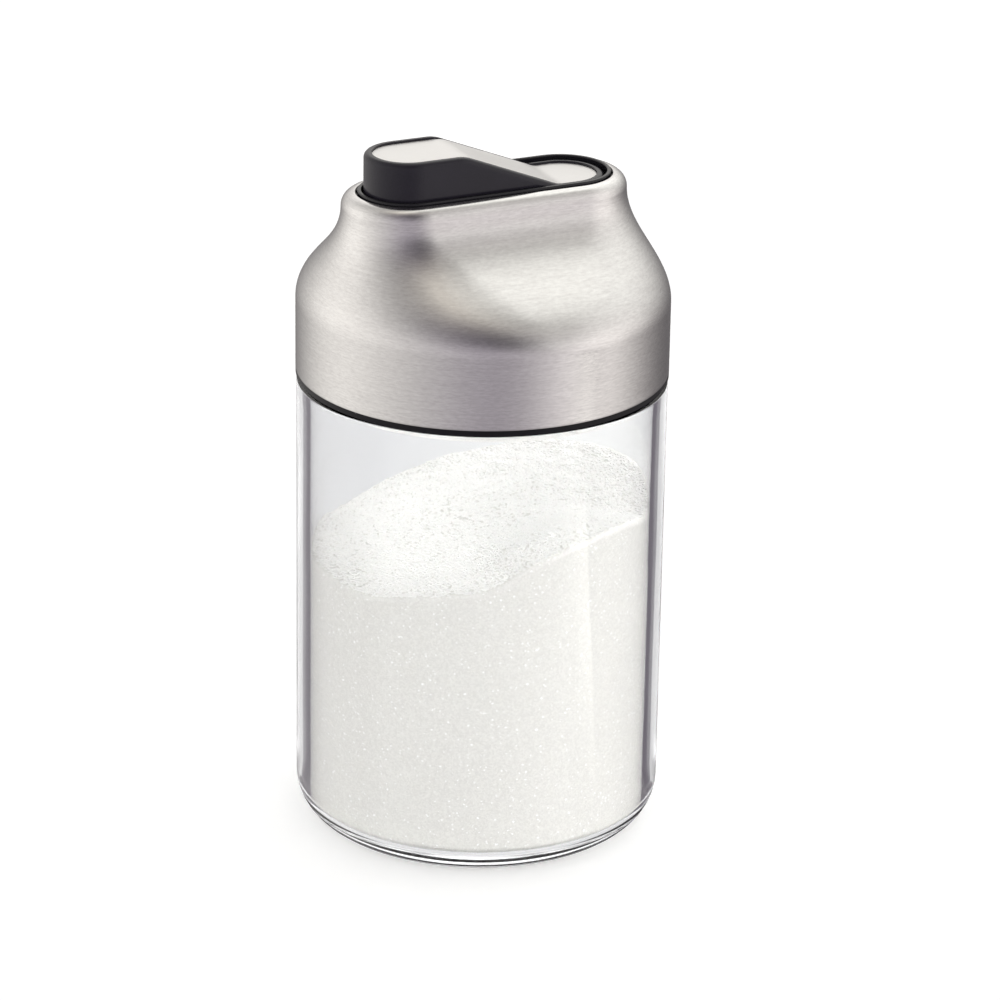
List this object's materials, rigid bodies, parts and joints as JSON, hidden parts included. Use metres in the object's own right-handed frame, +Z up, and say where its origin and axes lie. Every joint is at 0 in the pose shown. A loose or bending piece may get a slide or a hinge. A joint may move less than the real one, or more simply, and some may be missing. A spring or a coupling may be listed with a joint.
{
  "type": "sugar dispenser",
  "caption": "Sugar dispenser: round clear glass jar filled with sugar under a brushed steel lid that narrows to a slot, with a black rocker flap carrying a bent steel plate.",
  "frame": {"origin": "centre of the jar's base, on the surface it stands on", "axes": "+Z up; X along the slot in the lid, the pour end and raised flap end at -X, the thumb end at +X"},
  "size_m": [0.076, 0.076, 0.1458],
  "materials": {
    "clear_glass": "polished, clear",
    "white_sugar": "granular, stands in for sugar",
    "brushed_cover": "fine brushed",
    "satin_plate": "satin",
    "plain_steel": "ground",
    "spring_steel": "drawn wire",
    "black_plastic": "moulded, slight sheen",
    "flap_plastic": "moulded, satin",
    "soft_seal": "translucent silicone",
    "soft_plug": "silicone"
  },
  "bodies": {
    "jar": {"glass_jar": "clear_glass", "sugar_fill": "white_sugar"},
    "seal": {"jar_seal": "soft_seal"},
    "lid": {"lid_cover": "brushed_cover", "lid_liner": "black_plastic", "flap_frame": "black_plastic", "hinge_pin": "plain_steel", "return_spring": "spring_steel"},
    "flap": {"flap_body": "flap_plastic", "flap_plate": "satin_plate", "flap_plug": "soft_plug"}
  },
  "joints": [
    {"name": "lid_rise", "type": "slide", "parent": "jar", "child": "seal", "axis": [0, 0, 1], "range_m": [0, 0.0127]},
    {"name": "lid_turn", "type": "hinge", "parent": "seal", "child": "lid", "pos_m": [0, 0, 0], "axis": [0, 0, 1], "range_deg": [0, 1080]},
    {"name": "flap_hinge", "type": "hinge", "parent": "lid", "child": "flap", "pos_m": [0.005, 0, 0.1349], "axis": [0, 1, 0], "range_deg": [0, 25], "stiffness_Nm_per_rad": 0.06, "springref_deg": -17.19, "deforming": ["return_spring"]}
  ],
  "couplings": [
    {"joint": "lid_rise", "follows": "lid_turn", "m_per_rad": 0.00066845}
  ]
}
